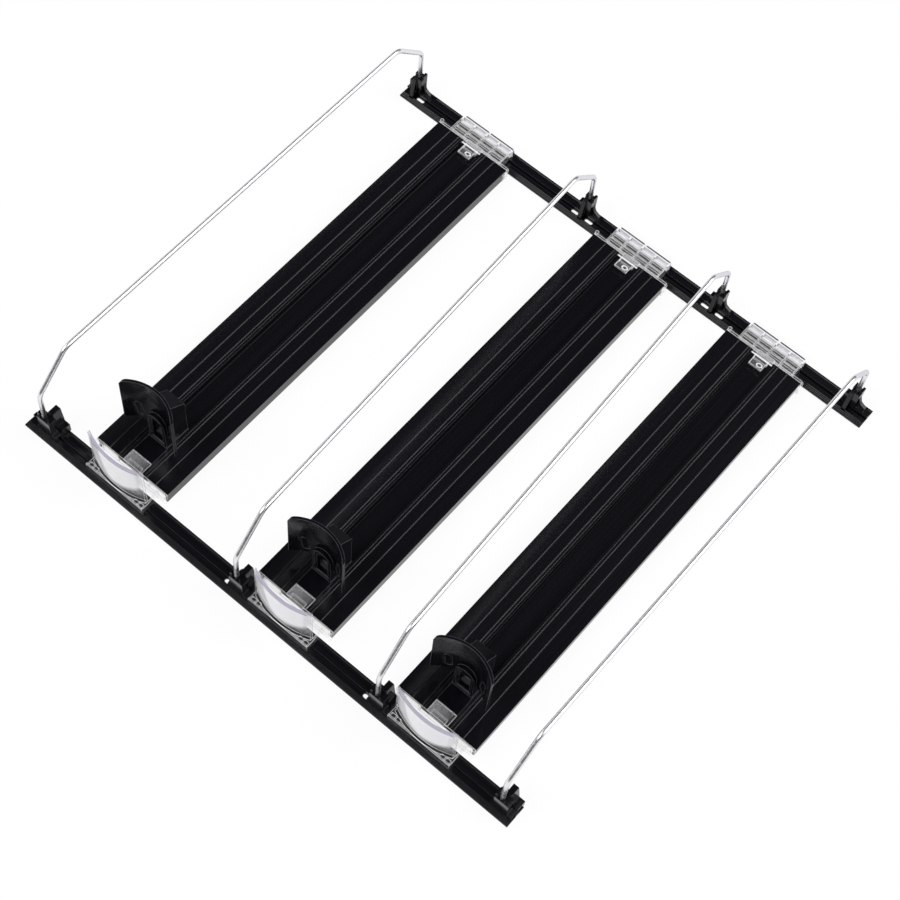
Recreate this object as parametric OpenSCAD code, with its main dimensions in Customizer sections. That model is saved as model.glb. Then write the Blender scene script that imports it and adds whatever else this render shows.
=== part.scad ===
// Can organizer for a fridge shelf: two rails carry three channel tracks, each with a clear front
// stop and a spring pusher, and four wire dividers between the lanes.
// X runs along the rails, Y from the front rail to the rear rail, Z up.
// The origin is at the centre of the whole, on the shelf.

/* [Layout] */
// Distance between the near edges of the two rails
rail_pitch = 400; // [340:1:500]
// How far the rear rail stands to the right of the front rail
rear_shift = 5.4; // [0:0.1:8]
// Centre of the first track, as a share of the rail's length
lane_1_share = 0.1887; // [0.18:0.001:0.2]
// Centre of the second track, as a share of the rail's length
lane_2_share = 0.5353; // [0.52:0.001:0.54]
// Centre of the third track, as a share of the rail's length
lane_3_share = 0.8185; // [0.81:0.001:0.82]

/* [Rails] */
// Length of each rail
rail_length = 442.4; // [420:0.1:520]
// Depth of the rail's base strip
rail_depth = 17.6; // [17:0.1:20]
// Thickness of the rail's base strip
strip_t = 1.6; // [1.2:0.1:2]
// Place of the rib's stem, from the rail's near edge
stem_y = 10.2; // [10:0.1:10.6]
// Thickness of the rib's stem
stem_t = 1.2; // [1:0.1:1.6]
// Width of the head on top of the rib
head_w = 3.2; // [2.8:0.1:3.6]
// Thickness of the rib's head
head_t = 1.2; // [0.8:0.1:1.6]
// Height of the rail over its rib
rail_h = 4.3; // [4:0.1:5]
// Width of each fine grip ridge along the rail
ridge_w = 0.7; // [0.4:0.1:0.8]
// Height of each fine grip ridge
ridge_h = 0.3; // [0.2:0.05:0.5]
// Distance between the fine grip ridges
ridge_pitch = 1.4; // [1.2:0.1:1.5]
// Distance of the outer grip ridges from the rail's edges
ridge_in = 1; // [0.8:0.1:1.2]
// Length of each screw slot, end to end
slot_l = 7; // [5:0.5:9]
// Width of each screw slot
slot_w = 3.2; // [3:0.1:3.3]
// Distance between the two slots of a pair
slot_pitch = 13.1; // [12:0.1:14]
// Distance from a slot's centre line to the rail's near edge
slot_y = 6.9; // [6:0.1:6.9]
// How far the middle of a slot pair stands to the left of its wire
slot_shift = 1.6; // [1:0.1:2]

/* [Tracks] */
// Width of a track over its top plate
track_w = 67.5; // [64:0.5:72]
// Height of a track
track_h = 12; // [11:0.1:14]
// Gap between the front rail and a track's front end
track_front_gap = 5.8; // [5.6:0.1:8]
// Gap between a track's rear end and the rear rail
track_rear_gap = 5.6; // [5.2:0.1:8]
// Thickness of the top plate
plate_t = 2; // [1.6:0.1:2.4]
// Thickness of the side walls and the channel's walls
wall_t = 1.6; // [1.2:0.1:2]
// How far the top plate stands out over the side walls
lip_out = 0.9; // [0.5:0.1:1.2]
// Width of the channel's opening
channel_w = 18.6; // [18:0.1:20]
// Width of the channel below its lips
channel_inner_w = 24.4; // [23.6:0.1:26]
// Height of the channel's floor
channel_floor_z = 7.2; // [6.8:0.1:7.4]
// Distance of the inner runner ribs from the centre line
runner_inner_x = 13.4; // [12.8:0.1:14]
// Distance of the outer runner ribs from the centre line
runner_outer_x = 21.9; // [20:0.1:24]
// Radius of the half-round runner ribs
runner_h = 0.6; // [0.4:0.1:1]
// Distance of the low beads beside the channel from the centre line
bead_x = 11.2; // [10.4:0.1:12]
// Radius of those beads
bead_r = 0.3; // [0.2:0.05:0.5]

/* [Front stops] */
// Width of the stop's saddle on the rail
stop_saddle_w = 53.2; // [50:0.2:54]
// Width of the upright stop
stop_w = 50; // [46:0.5:52]
// Radius of the upright stop's curve
stop_r = 58; // [50:0.5:70]
// Thickness of the upright stop
stop_t = 2; // [1.6:0.1:2.6]
// Height of the stop's top edge
stop_top_z = 50; // [40:1:60]
// Distance of the stop's side edges from the front rail's near edge
stop_edge_y = 12.5; // [12:0.1:13.5]
// Thickness of the plate that closes a track's end
end_plate_t = 2; // [1.6:0.1:2.4]
// Width of the tongue in the channel's mouth
tongue_w = 17.6; // [16:0.1:17.8]
// How far the tongue reaches into the channel
tongue_l = 10; // [8:0.1:11]
// Length of the heel that holds the band's end
heel_l = 4; // [3:0.5:6]
// Thickness of the tongue
tongue_t = 1.8; // [1.4:0.1:2.2]

// Height of the saddle's top
saddle_top_z = 7.6; // [7:0.1:8.4]
// Distance of the saddle's near lip from the rail's near edge
saddle_y0 = 4.4; // [3.8:0.1:5]
// Length of each small window in the saddle
window_l = 3.4; // [2:0.1:4]
// Thickness of the lips, ribs and fins of the clear pieces
lip_t = 1.2; // [1:0.1:1.6]
// Length of the plugs in a track's hollow sides
plug_l = 8; // [6:0.5:12]
// Height of the plugs' lower edge
plug_z = 1.2; // [0.8:0.1:2]
// How far an end plate stands over the top plate
plate_over = 0.4; // [0.2:0.1:1]
// Gap between a clip or an end plate and the shelf
foot_gap = 0.5; // [0.4:0.1:1]

/* [Rear connectors] */
// Reach of the connector's block to the left of the centre line
block_left = 24; // [20:0.5:26]
// Reach of the connector's block to the right of the centre line
block_right = 25.4; // [22:0.1:28]
// Height of the connector's block
block_h = 10.5; // [9.5:0.1:12]
// Cells across the block
cell_columns = 4; // [3:1:5]
// Rows of cells along the block
cell_rows = 3; // [2:1:3]
// Depth of each cell
cell_depth = 3; // [2:0.1:3.4]
// Thickness of the block's floor over the gap at the rail's near edge
floor_t = 3.2; // [3:0.1:3.6]
// Depth of the thin roof behind the cells
roof_l = 4; // [3:0.5:5]
// Width of the notch in the middle of the block's far wall
notch_w = 2.4; // [1.6:0.1:4]
// Depth of that notch
notch_h = 3; // [2:0.1:5]
// Radius of the hook round the track's right corner
corner_hook_r = 1.8; // [1.8:0.1:3]
// Length of that hook along the track's side
corner_hook_l = 5; // [3:0.5:8]
// Radius of the knob at the connector's left end
knob_r = 1.4; // [1:0.1:1.8]
// Thickness of the hook round a rail's far edge
hook_t = 1.1; // [0.9:0.1:1.6]
// Length of the rear tongue along the channel
rear_tongue_l = 11; // [9:0.5:13]
// Width of the rear tongue
rear_tongue_w = 11; // [9:0.5:12]

/* [Pushers] */
// Radius of the paddle's hollow face, which is that of a can
can_r = 33; // [32:0.5:38]
// Thickness of the paddle
paddle_t = 2; // [1.6:0.1:2.4]
// Half of the paddle's width
paddle_half_w = 24; // [20:0.2:25]
// Distance of the paddle's side edges from the track's front end at rest
paddle_edge = 19; // [17:0.5:22]
// Height of the paddle's lower edge
paddle_low_z = 30; // [28:0.5:32]
// Height of the paddle's top edge
paddle_top_z = 79; // [70:1:90]
// Radius of the paddle's top corners
corner_r = 3; // [2:0.5:14]
// Thickness of the housing's walls
hood_t = 1.6; // [1.2:0.1:1.8]
// How far the arched front stands out before the paddle's middle
nose_l = 3.5; // [2.6:0.1:4]
// Height of the arched front
hood_top_z = 47; // [42:0.5:50]
// Width of the front's open window
window_w = 9; // [7:0.5:10]
// Height of the window's lower edge
window_z = 15.5; // [15:0.5:18]
// Height of the window's arched top
window_top_z = 40; // [36:0.5:42]
// Width of each of the two steps round the window
step_w = 1.8; // [1.2:0.1:2]
// Depth of each step
step_t = 0.7; // [0.4:0.1:0.7]
// Height of the slanting roof behind the paddle
roof_front_z = 63; // [52:1:68]
// Height of the roof's rear edge
roof_rear_z = 49; // [34:1:50]
// Distance of the oval recesses from the paddle's middle
recess_x = 15; // [13:0.5:17]
// Height of the oval recesses
recess_z = 44; // [42:0.5:50]
// Length of an oval recess
recess_h = 18; // [10:0.5:20]
// Width of an oval recess
recess_w = 5.6; // [5:0.1:8]
// Width of the groove round an oval recess
recess_rim = 1; // [0.6:0.1:1.4]
// Depth of the groove round an oval recess
recess_depth = 0.6; // [0.4:0.1:0.8]
// Lean of the oval recesses towards the arched front
recess_lean = 6; // [0:1:12]
// Height of the sled over the plates, behind the arched front
sled_over = 0.9; // [0.9:0.1:1.4]
// Running clearance between parts that slide on each other
run_gap = 0.3; // [0.2:0.05:0.4]

/* [Springs] */
// Width of the spring band
band_w = 12; // [10:0.5:12.4]
// Thickness of the spring band
band_t = 0.3; // [0.2:0.05:0.4]
// Outer radius of the rolled spring
coil_r = 8.4; // [8:0.1:9]
// Inner radius of the rolled spring
coil_inner_r = 4.6; // [4:0.1:6]
// Radius of the drum's pins in the hood's cheeks
drum_pin_r = 2; // [1.5:0.1:2.5]
// Running gap round the drum's pins and under the coil
pin_gap = 0.1; // [0.05:0.01:0.2]
// Gap round the coil inside the hood
coil_gap = 0.6; // [0.4:0.1:0.7]
// Grooves in each side of the rolled spring
coil_grooves = 5; // [3:1:8]
// Width and depth of those grooves
groove_w = 0.3; // [0.2:0.05:0.4]

/* [Dividers] */
// Diameter of the divider wires
wire_d = 3.6; // [3:0.1:3.8]
// Height of the wire's lower bend
wire_bend_z = 52; // [40:0.5:60]
// Rise of the wire's slanting stretch
wire_rise = 29.7; // [20:0.1:40]
// Run of the wire's slanting stretch
wire_run = 29.3; // [20:0.1:40]
// Radius of the wire's bends, at its centre line
wire_bend_r = 6; // [4:0.5:8]
// Height of the wire's lower ends
wire_foot_z = 9; // [8.6:0.1:10]
// How far the wires' posts stand outward of the rails' middle
post_out = 1.5; // [1.4:0.05:1.6]
// Gap between a wire and its socket
socket_gap = 0.15; // [0.1:0.05:0.3]
// Height of the clips' socket
socket_top_z = 22; // [18:0.5:24]
// Height of the clips' prongs
prong_top_z = 26; // [24:0.5:30]
// Height of the clips' base on the rail
clip_base_z = 7; // [6.6:0.1:8]
// Height of the hook's roof over the rail's far edge
clip_roof_z = 4.9; // [4.7:0.1:5.4]
// Thickness of that roof
clip_roof_t = 1.3; // [1:0.1:1.8]
// Height of the clips' wing over their base
wing_h = 2; // [1:0.1:3]
// Reach of a front clip to the left of its wire
clip_left = 7; // [6:0.5:9]
// Reach of a rear clip to the left of its wire
rear_clip_left = 9; // [8:0.5:9.5]
// Reach of a clip to the right of its wire
clip_right = 10.8; // [9:0.1:11]
// Half of the width of a clip's body round the socket
body_half_w = 5; // [4:0.1:5.5]
// Width of the front clip's horn
horn_w = 2; // [1.6:0.1:2.4]
// Length of the front clip's tower behind its body
tower_l = 6.3; // [6:0.1:7]
// Half of the width of a clip's tower
tower_half_w = 3.9; // [3.6:0.1:4.4]
// Width of each prong
prong_w = 2; // [1.6:0.1:2.2]
// Length of each prong along Y
prong_l = 5; // [4:0.1:5.4]
// Width of the shoulder on the left of the rear clip's tower
shoulder_w = 3.4; // [3:0.1:4]
// Height of that shoulder
shoulder_z = 17; // [14:0.5:18]
// Reach of the rear clip's foot before its tower
foot_l = 4.6; // [4:0.1:5]
// Width of that foot
foot_w = 3.2; // [2.6:0.1:4]
// Both posts of the first divider, from the front rail's left end
first_post_x = 15.9; // [15.4:0.1:17]
// Gap between the second divider's front clip and the second stop
stop_2_gap = 1.1; // [0.7:0.1:6]
// Gap between the third divider's front clip and the third stop
stop_3_gap = 0.7; // [0.7:0.1:6]
// Distance of the fourth divider's front post from the front rail's right end
last_post_in = 11.7; // [11.4:0.1:14]
// How far the second divider's rear post stands to the left of its front post
wire_2_skew = 13.4; // [8:0.1:16]
// How far the third divider's rear post stands to the left of its front post
wire_3_skew = 14.5; // [8:0.1:16]
// How far the fourth divider's rear post stands to the right of its front post
wire_4_skew = 1.6; // [0:0.1:4]

/* [Hidden] */
$fn = 48;
bend_steps = 6;
wire_sides = 12;

plastic_black = [0.06, 0.06, 0.07];
plastic_clear = [0.86, 0.86, 0.92, 0.5];
steel_bright = [0.78, 0.8, 0.82];

lane_x = [rail_length * lane_1_share, rail_length * lane_2_share, rail_length * lane_3_share];
// The inner dividers' front clips stand close to the left ends of the stops beside them.
beside_stop = stop_saddle_w / 2 + clip_right;
front_post_x = [
    first_post_x,
    lane_x[1] - beside_stop - stop_2_gap,
    lane_x[2] - beside_stop - stop_3_gap,
    rail_length - last_post_in
];
rear_post_x = [
    first_post_x,
    front_post_x[1] - wire_2_skew,
    front_post_x[2] - wire_3_skew,
    front_post_x[3] + wire_4_skew
];
total_w = rail_length + rear_shift;
total_d = rail_pitch + rail_depth + run_gap + hook_t;
rail_mid = rail_depth / 2;
front_post_y = rail_mid - post_out;
rear_post_y = rail_pitch + rail_mid + post_out;

track_y0 = rail_depth + track_front_gap;
track_y1 = rail_pitch - track_rear_gap;
lip_z = track_h - plate_t;
floor_z = channel_floor_z;
wire_r = wire_d / 2;

// What rides on a rail keeps clear of its ridges and its rib by the running gap.
saddle_z = strip_t + ridge_h + run_gap;
rib_front = stem_y - head_w / 2;

// The band lies on the channel's floor and rolls up on the coil.
band_z = floor_z + run_gap;
coil_z = band_z + band_t + pin_gap + coil_r;
sled_z = band_z + band_t + run_gap;
pocket_r = coil_r + coil_gap;
hood_r = pocket_r + hood_t;
cavity_w = band_w + 2 * coil_gap;
hood_w = cavity_w + 2 * hood_t;

// The paddle's face is a stretch of a can's side, hollow towards the front.
paddle_axis_y = track_y0 + paddle_edge - sqrt(can_r * can_r - paddle_half_w * paddle_half_w);
paddle_face_y = paddle_axis_y + can_r;

// The arched front, the coil close behind it and the housing's back, which ends the sled.
nose_y = paddle_face_y - nose_l;
coil_y = nose_y + hood_r;
sled_y0 = track_y0 + tongue_l + run_gap;
sled_y1 = coil_y + hood_r;

// Moves a piece from the rails' corner to the part's own origin.
module placed() {
    translate([-total_w / 2, -total_d / 2, 0]) children();
}

// Stands a drawing in Y and Z up and extrudes it along X.
module along_x(length) {
    rotate([90, 0, 90]) linear_extrude(length) children();
}

// Stands a drawing in X and Z up and extrudes it along Y, from y0 to y1.
module along_y(y0, y1) {
    translate([0, y1, 0]) rotate([90, 0, 0]) linear_extrude(y1 - y0) children();
}

module box(x0, x1, y0, y1, z0, z1) {
    translate([x0, y0, z0]) cube([x1 - x0, y1 - y0, z1 - z0]);
}

// Rails

module rail_section() {
    square([rail_depth, strip_t]);
    translate([stem_y - stem_t / 2, strip_t]) square([stem_t, rail_h - strip_t]);
    translate([rib_front, rail_h - head_t]) square([head_w, head_t]);
    last = rail_depth - ridge_in - ridge_w;
    for (y = [ridge_in, ridge_in + ridge_pitch, ridge_in + 2 * ridge_pitch, last]) {
        translate([y, strip_t]) polygon([[0, 0], [ridge_w, 0], [ridge_w / 2, ridge_h]]);
    }
}

module screw_slot(x) {
    for (side = [-1, 1]) {
        translate([x + side * (slot_l - slot_w) / 2, slot_y, -1])
            cylinder(d = slot_w, h = strip_t + 2, $fn = 32);
    }
    translate([x - (slot_l - slot_w) / 2, slot_y - slot_w / 2, -1])
        cube([slot_l - slot_w, slot_w, strip_t + 2]);
}

// A pair of slots lies a little to the left of each inner divider, and one slot at the first one.
module rail(posts) {
    color(plastic_black) difference() {
        along_x(rail_length) rail_section();
        for (k = [1, 2], side = [-1, 1]) {
            screw_slot(posts[k] - slot_shift + side * slot_pitch / 2);
        }
        screw_slot(posts[0] - slot_shift + slot_pitch / 2);
    }
}

module rail_front() {
    placed() rail(front_post_x);
}

module rail_rear() {
    placed() translate([rear_shift, rail_pitch, 0]) rail([for (x = rear_post_x) x - rear_shift]);
}

// Tracks

module runner(x, r) {
    translate([x, track_h]) circle(r);
}

module track_section() {
    half = track_w / 2;
    side = half - lip_out;
    channel = channel_inner_w / 2;
    for (s = [-1, 1]) {
        mirror([s < 0 ? 1 : 0, 0]) {
            translate([channel_w / 2, lip_z]) square([half - channel_w / 2, plate_t]);
            translate([side - wall_t, 0]) square([wall_t, lip_z]);
            translate([channel, floor_z - wall_t]) square([wall_t, lip_z - floor_z + wall_t]);
            runner(bead_x, bead_r);
            runner(runner_inner_x, runner_h);
            runner(runner_outer_x, runner_h);
        }
    }
    translate([-channel, floor_z - wall_t]) square([2 * channel, wall_t]);
}

module track(i) {
    placed() translate([lane_x[i - 1], 0, 0]) color(plastic_black)
        along_y(track_y0, track_y1) track_section();
}

// Front stops

// An upright wall whose plan is an arc, with its middle towards the front.
module curved_wall(r, t, half_w, z0, z1) {
    translate([0, 0, z0]) intersection() {
        difference() {
            cylinder(r = r + t, h = z1 - z0, $fn = 128);
            translate([0, 0, -1]) cylinder(r = r, h = z1 - z0 + 2, $fn = 128);
        }
        translate([-half_w, -r - t - 1, -1]) cube([2 * half_w, r + t + 1, z1 - z0 + 2]);
    }
}

// A plug that fills the track's hollow beside the channel.
module plug(y0, y1) {
    inner = channel_inner_w / 2 + wall_t + run_gap;
    outer = track_w / 2 - lip_out - wall_t - run_gap;
    for (s = [-1, 1]) {
        mirror([s < 0 ? 1 : 0, 0, 0]) difference() {
            box(inner, outer, y0, y1, plug_z, lip_z - run_gap);
            box(inner + wall_t, outer - wall_t, y0 - 1, y1 + 1, 0, lip_z - run_gap - wall_t);
        }
    }
}

// The space of a rail's rib with the running gap round it, cut into all that slides on the rail.
module rib_space() {
    translate([stem_y - stem_t / 2 - run_gap, -1]) square([stem_t + 2 * run_gap, rail_h]);
    translate([rib_front - run_gap, rail_h - head_t - run_gap])
        square([head_w + 2 * run_gap, head_t + 2 * run_gap]);
}

// The part of a front stop that slides on the front rail, from its near lip to the end plate.
module stop_saddle() {
    plate_y = track_y0 - end_plate_t;
    window = [window_l, rib_front - run_gap - saddle_y0 - lip_t, saddle_top_z];
    difference() {
        translate([-stop_saddle_w / 2, 0, 0]) along_x(stop_saddle_w) difference() {
            translate([saddle_y0, saddle_z]) square([plate_y - saddle_y0, saddle_top_z - saddle_z]);
            rib_space();
            translate([rail_depth + run_gap, 0])
                square([plate_y - rail_depth - run_gap - lip_t, saddle_top_z - lip_t]);
        }
        for (side = [-1, 1], row = [0, 1]) {
            middle = side * (stop_saddle_w / 2 - lip_t - window_l / 2 - row * (window_l + lip_t));
            translate([middle - window_l / 2, saddle_y0 + lip_t, saddle_z - 1]) cube(window);
        }
    }
    translate([-stop_saddle_w / 2, saddle_y0, saddle_top_z]) cube([stop_saddle_w, lip_t, lip_t]);
}

// The tongue lies in the channel's mouth, and its heel holds the band's end on the channel's floor.
module tongue(width, y0, y1, heel_y0, heel_y1) {
    box(-width / 2, width / 2, y0, y1, track_h - tongue_t, track_h);
    box(-band_w / 2, band_w / 2, heel_y0, heel_y1, band_z + band_t, track_h - tongue_t);
}

module front_stop(i) {
    plate_y = track_y0 - end_plate_t;
    stop_axis_y = stop_edge_y + sqrt(stop_r * stop_r - stop_w * stop_w / 4);
    placed() translate([lane_x[i - 1], 0, 0]) color(plastic_clear) {
        box(-track_w / 2, track_w / 2, plate_y, track_y0, foot_gap, track_h + plate_over);
        plug(track_y0, track_y0 + plug_l);
        stop_saddle();
        translate([0, stop_axis_y, 0]) curved_wall(stop_r, stop_t, stop_w / 2, saddle_top_z, stop_top_z);
        for (side = [0, 1]) {
            mirror([side, 0, 0]) translate([stop_saddle_w / 2 - lip_t, 0, 0]) along_x(lip_t) polygon([
                [stop_edge_y, saddle_top_z],
                [plate_y, saddle_top_z],
                [plate_y, track_h + plate_over]
            ]);
        }
        tongue(tongue_w, track_y0, track_y0 + tongue_l, track_y0, track_y0 + heel_l);
    }
}

// Rear connectors

// The connector's block in Y and Z: a body over the rail whose far wall hooks round the rail's edge.
module block_section() {
    y0 = track_y1 + end_plate_t;
    far = rail_pitch + rail_depth;
    difference() {
        union() {
            translate([y0, saddle_z]) square([far + run_gap + hook_t - y0, block_h - saddle_z]);
            translate([far + run_gap, foot_gap]) square([hook_t, saddle_z]);
        }
        translate([rail_pitch, 0]) rib_space();
        translate([y0 + lip_t, 0]) square([rail_pitch - run_gap - y0 - lip_t, block_h - lip_t - floor_t]);
    }
}

// A hook from the end plate round the track's right corner, clear of the track.
module corner_hook(z0, z1) {
    x = track_w / 2 - corner_hook_r / 2;
    y = track_y1 - corner_hook_r / 2;
    r = corner_hook_r + lip_t;
    difference() {
        union() {
            translate([x, y, z0]) cylinder(r = r, h = z1 - z0);
            box(x + corner_hook_r, x + r, y - corner_hook_l, y, z0, z1);
        }
        translate([x, y, z0 - 1]) cylinder(r = corner_hook_r, h = z1 - z0 + 2);
        box(x - r - 1, x, y - r - 1, y + r + 1, z0 - 1, z1 + 1);
        box(x - 1, x + corner_hook_r, y - r - 1, y, z0 - 1, z1 + 1);
    }
}

module rear_connector(i) {
    y0 = track_y1 + end_plate_t;
    far = rail_pitch + rail_depth;
    cells_d = far - roof_l - y0 - lip_t;
    block_w = block_left + block_right;
    cell_w = (block_w - lip_t) / cell_columns - lip_t;
    cell_d = cells_d / cell_rows - lip_t;
    plate_top = track_h + plate_over;
    placed() translate([lane_x[i - 1], 0, 0]) color(plastic_clear) {
        box(-track_w / 2, track_w / 2, track_y1, y0, foot_gap, plate_top);
        corner_hook(track_h / 2, plate_top);
        translate([-track_w / 2 + knob_r, y0, foot_gap])
            cylinder(r = knob_r, h = plate_top + knob_r - foot_gap, $fn = 32);
        plug(track_y1 - plug_l, track_y1);
        difference() {
            translate([-block_left, 0, 0]) along_x(block_w) block_section();
            for (column = [0:cell_columns - 1], row = [0:cell_rows - 1]) {
                x = -block_left + lip_t + column * (cell_w + lip_t);
                y = y0 + lip_t + row * (cell_d + lip_t);
                translate([x, y, block_h - cell_depth]) cube([cell_w, cell_d, block_h]);
            }
            box(lip_t - block_left, block_right - lip_t, far - roof_l, far + run_gap, 0, block_h - lip_t);
            translate([(block_right - block_left - notch_w) / 2, far, block_h - notch_h])
                cube([notch_w, block_h, block_h]);
        }
        tongue(rear_tongue_w, track_y1 - rear_tongue_l, track_y1, track_y1 - heel_l, track_y1);
        box(-rear_tongue_w / 2, tongue_w / 2, track_y1 - lip_t, y0, track_h, plate_top + lip_t);
    }
}

// Pushers

// The paddle's outline, seen from the front: square below, round at its top corners.
module paddle_outline() {
    w = paddle_half_w;
    top = paddle_top_z - corner_r;
    translate([-w, paddle_low_z]) square([2 * w, top - paddle_low_z]);
    translate([-w + corner_r, top]) square([2 * (w - corner_r), corner_r]);
    for (side = [-1, 1]) {
        translate([side * (w - corner_r), top]) circle(corner_r);
    }
}

// A layer of the paddle's curved wall between two radii, cut to an outline in X and Z.
module paddle_layer(r0, r1) {
    intersection() {
        translate([0, paddle_axis_y, 0]) difference() {
            cylinder(r = r1, h = paddle_top_z + 1, $fn = 128);
            translate([0, 0, -1]) cylinder(r = r0, h = paddle_top_z + 3, $fn = 128);
        }
        along_y(paddle_axis_y, paddle_axis_y + r1 + 1) children();
    }
}

module oval(height, width) {
    for (side = [-1, 1]) {
        translate([0, side * (height - width) / 2]) circle(d = width);
    }
    square([width, height - width], center = true);
}

module paddle() {
    difference() {
        paddle_layer(can_r, can_r + paddle_t) paddle_outline();
        paddle_layer(can_r - 1, can_r + recess_depth) {
            for (side = [-1, 1]) {
                translate([side * recess_x, recess_z]) rotate(side * -recess_lean) difference() {
                    oval(recess_h, recess_w);
                    oval(recess_h - 2 * recess_rim, recess_w - 2 * recess_rim);
                }
            }
        }
    }
}

// An arch in X and Z that stands on the height z0.
module arch(width, z0, top) {
    translate([-width / 2, z0]) square([width, top - z0 - width / 2]);
    translate([0, top - width / 2]) circle(d = width);
}

// The housing's side, in Y and Z, drawn smaller by a wall's thickness for its cavity.
module housing_side(wall) {
    slope = (roof_front_z - roof_rear_z) / (sled_y1 - paddle_face_y);
    y0 = nose_y + hood_t + wall;
    y1 = sled_y1 - wall;
    polygon([
        [y0, sled_z - wall],
        [y0, coil_z],
        [paddle_face_y + paddle_t / 2, coil_z + pocket_r],
        [paddle_face_y + paddle_t / 2, roof_front_z - wall - slope * paddle_t / 2],
        [y1, roof_rear_z - wall + slope * wall],
        [y1, sled_z - wall]
    ]);
}

// The housing over the coil, with an arched front that steps in round its window.
module hood() {
    difference() {
        union() {
            translate([-hood_w / 2, 0, 0]) along_x(hood_w) housing_side(0);
            along_y(nose_y, paddle_face_y) arch(hood_w, sled_z, hood_top_z);
        }
        translate([-cavity_w / 2, 0, 0]) along_x(cavity_w) {
            translate([coil_y, coil_z]) circle(pocket_r);
            translate([coil_y - pocket_r, 0]) square([2 * pocket_r, coil_z]);
            housing_side(hood_t);
        }
        for (k = [1, 2]) {
            along_y(nose_y - 1, nose_y + k * step_t)
                arch(hood_w - 2 * k * step_w, window_z - (2 - k) * step_t, hood_top_z - k * step_w);
        }
        along_y(nose_y - 1, coil_y) arch(window_w, window_z, window_top_z);
        translate([-hood_w / 2 - 1, coil_y, coil_z]) rotate([0, 90, 0])
            cylinder(r = drum_pin_r + pin_gap, h = hood_w + 2, $fn = 32);
    }
}

// The sled's section: a neck through the channel's mouth over flanges that run below its lips.
module sled_section(top) {
    neck = channel_w / 2 - run_gap;
    flange = channel_inner_w / 2 - run_gap;
    translate([-flange, sled_z]) square([2 * flange, lip_z - run_gap - sled_z]);
    translate([-neck, sled_z]) square([2 * neck, top - sled_z]);
}

// The sled reaches forward to the stop's tongue, and its neck is higher below the housing.
module sled() {
    difference() {
        union() {
            along_y(sled_y0, nose_y + hood_t) sled_section(track_h);
            along_y(nose_y, sled_y1) sled_section(track_h + sled_over);
        }
        box(-cavity_w / 2, cavity_w / 2, coil_y - pocket_r, coil_y + pocket_r, 0, coil_z);
    }
}

module pusher(i) {
    placed() translate([lane_x[i - 1], 0, 0]) color(plastic_black) {
        paddle();
        hood();
        sled();
    }
}

// Springs

// The rolled part of the spring, with a groove on each side for every few turns.
module spring_coil(i) {
    turn = (coil_r - coil_inner_r) / coil_grooves;
    placed() translate([lane_x[i - 1], coil_y, coil_z]) color(steel_bright) rotate([0, 90, 0])
        rotate_extrude($fn = 64) difference() {
            translate([coil_inner_r, -band_w / 2]) square([coil_r - coil_inner_r, band_w]);
            for (k = [1:coil_grooves - 1], side = [-1, 1]) {
                translate([coil_inner_r + k * turn, side * band_w / 2]) square(groove_w, center = true);
            }
        }
}

// The drum fills the coil, and its pins turn in the hood's cheeks.
module coil_drum(i) {
    placed() translate([lane_x[i - 1], coil_y, coil_z]) color(plastic_black) rotate([0, 90, 0]) {
        cylinder(r = coil_inner_r, h = band_w, center = true, $fn = 64);
        cylinder(r = drum_pin_r, h = hood_w - 2 * pin_gap, center = true, $fn = 32);
    }
}

// The flat part of the spring, from the front stop's heel to the coil's lowest point.
module spring_band(i) {
    placed() translate([lane_x[i - 1], 0, 0]) color(steel_bright)
        box(-band_w / 2, band_w / 2, track_y0 + run_gap, coil_y, band_z, band_z + band_t);
}

// Dividers

// The wire's middle line in its own plane, along the span and up: half of it, from the foot to the run.
function bend_points(cx, cz, a0, a1) = [
    for (k = [0:bend_steps]) let (a = a0 + (a1 - a0) * k / bend_steps)
        [cx + wire_bend_r * cos(a), cz + wire_bend_r * sin(a), (a0 + (a1 - a0) * k / bend_steps) - 90]
];

function half_line() =
    let (
        slant = atan2(wire_rise, wire_run),
        low_t = wire_bend_r * tan((90 - slant) / 2),
        top_t = wire_bend_r * tan(slant / 2),
        top_z = wire_bend_z + wire_rise
    )
    concat(
        [[0, wire_foot_z, 90]],
        bend_points(wire_bend_r, wire_bend_z - low_t, 180, 90 + slant),
        bend_points(wire_run + top_t, top_z - wire_bend_r, 90 + slant, 90)
    );

function whole_line(span) =
    let (half = half_line(), last = len(half) - 1)
    concat(half, [for (k = [last:-1:0]) [span - half[k][0], half[k][1], -half[k][2]]]);

// A round wire swept along a line of points, each with the line's direction there.
module swept_wire(line) {
    rings = len(line);
    points = [
        for (p = line, k = [0:wire_sides - 1])
            let (a = 360 * k / wire_sides, out = wire_r * cos(a))
            [p[0] - out * sin(p[2]), wire_r * sin(a), p[1] + out * cos(p[2])]
    ];
    walls = [
        for (r = [0:rings - 2], k = [0:wire_sides - 1])
            let (a = r * wire_sides + k, b = r * wire_sides + (k + 1) % wire_sides)
            [a, b, b + wire_sides, a + wire_sides]
    ];
    foot = [for (k = [wire_sides - 1:-1:0]) k];
    head = [for (k = [0:wire_sides - 1]) (rings - 1) * wire_sides + k];
    polyhedron(points, concat(walls, [foot], [head]));
}

module divider_wire(i) {
    dx = rear_post_x[i - 1] - front_post_x[i - 1];
    dy = rear_post_y - front_post_y;
    placed() translate([front_post_x[i - 1], front_post_y, 0]) rotate([0, 0, atan2(dy, dx)])
        color(steel_bright) swept_wire(whole_line(norm([dx, dy])));
}

module socket() {
    translate([0, 0, wire_foot_z]) cylinder(r = wire_r + socket_gap, h = prong_top_z, $fn = 32);
}

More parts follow.
